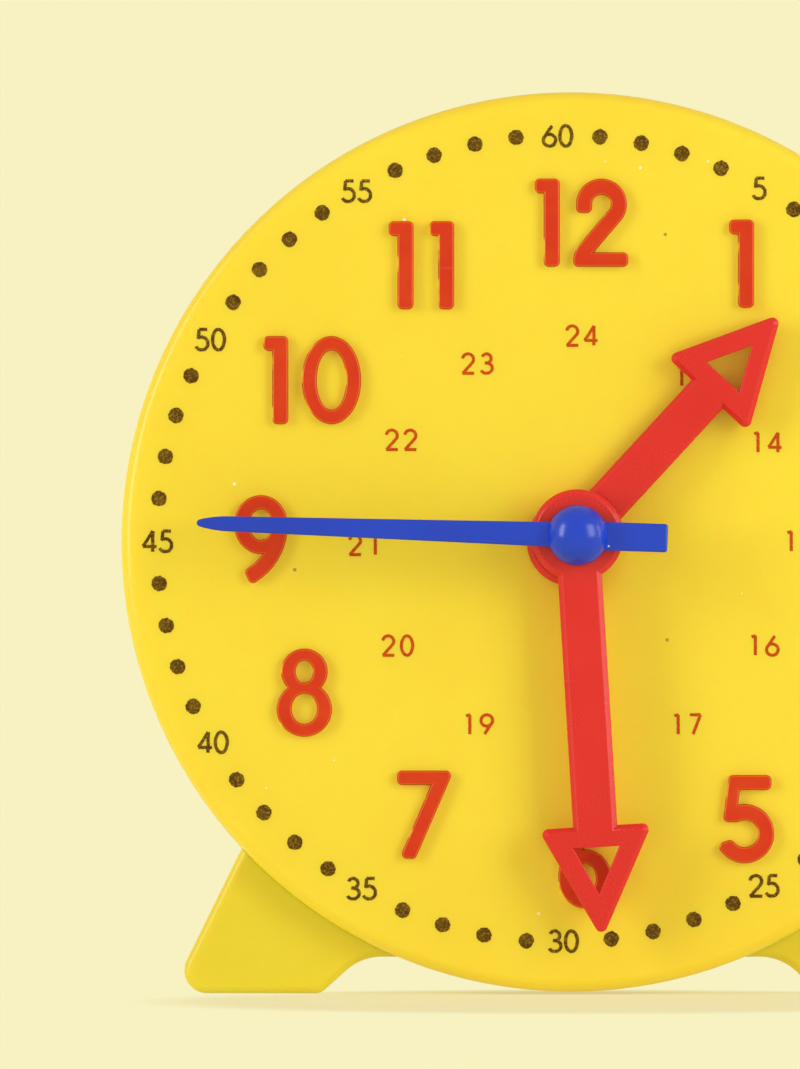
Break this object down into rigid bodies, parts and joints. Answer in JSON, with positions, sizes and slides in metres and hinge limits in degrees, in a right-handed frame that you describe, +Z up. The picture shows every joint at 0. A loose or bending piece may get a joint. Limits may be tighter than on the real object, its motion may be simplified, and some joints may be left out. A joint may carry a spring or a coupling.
{
  "type": "geared teaching clock",
  "caption": "Round classroom clock on a stand, with raised hour figures, geared hour and minute hands, a free second hand and setting knobs behind.",
  "frame": {"origin": "on the table under the middle of the clock's box", "axes": "+Z up, the dial looks along -Y, +X to the right of somebody reading the dial"},
  "size_m": [0.102, 0.05, 0.1023],
  "materials": {
    "dial_plastic": "satin moulded yellow, red foil on the raised figures",
    "casing_plastic": "satin moulded yellow",
    "stand_plastic": "satin moulded yellow",
    "hand_plastic": "satin moulded red",
    "second_plastic": "satin moulded blue",
    "knob_plastic": "satin moulded red",
    "gear_plastic": "natural moulded white",
    "pinion_plastic": "natural moulded white",
    "arbor_plastic": "natural moulded white",
    "washer_plastic": "white washer",
    "steel": "bright drawn steel",
    "screw_steel": "zinc plated steel"
  },
  "bodies": {
    "root": {"dial": "dial_plastic", "back_cover": "casing_plastic", "cover_screws": "screw_steel", "stand": "stand_plastic", "stand_screws": "screw_steel", "idler_pin": "steel", "pin_clip": "steel"},
    "minute": {"minute_hand": "hand_plastic", "minute_arbor": "arbor_plastic", "minute_pinion": "pinion_plastic", "hand_washer": "washer_plastic", "thrust_washer": "washer_plastic", "setting_knob": "knob_plastic", "drag_spring": "steel"},
    "idler": {"idler_gear": "gear_plastic"},
    "hour": {"hour_hand": "hand_plastic", "hour_wheel": "gear_plastic"},
    "second": {"second_hand": "second_plastic", "second_arbor": "steel", "second_knob": "second_plastic"}
  },
  "joints": [
    {"name": "minute_turn", "type": "hinge", "parent": "root", "child": "minute", "pos_m": [0.00062, 0, 0.05206], "axis": [0, 1, 0], "continuous": true},
    {"name": "idler_turn", "type": "hinge", "parent": "root", "child": "idler", "pos_m": [0.00062, 0, 0.07306], "axis": [0, 1, 0], "continuous": true},
    {"name": "hour_turn", "type": "hinge", "parent": "root", "child": "hour", "pos_m": [0.00062, 0, 0.05206], "axis": [0, 1, 0], "continuous": true},
    {"name": "second_turn", "type": "hinge", "parent": "root", "child": "second", "pos_m": [0.00062, 0, 0.05206], "axis": [0, 1, 0], "continuous": true}
  ],
  "couplings": [
    {"joint": "idler_turn", "follows": "minute_turn", "ratio": -0.33333},
    {"joint": "hour_turn", "follows": "minute_turn", "ratio": 0.083333}
  ]
}
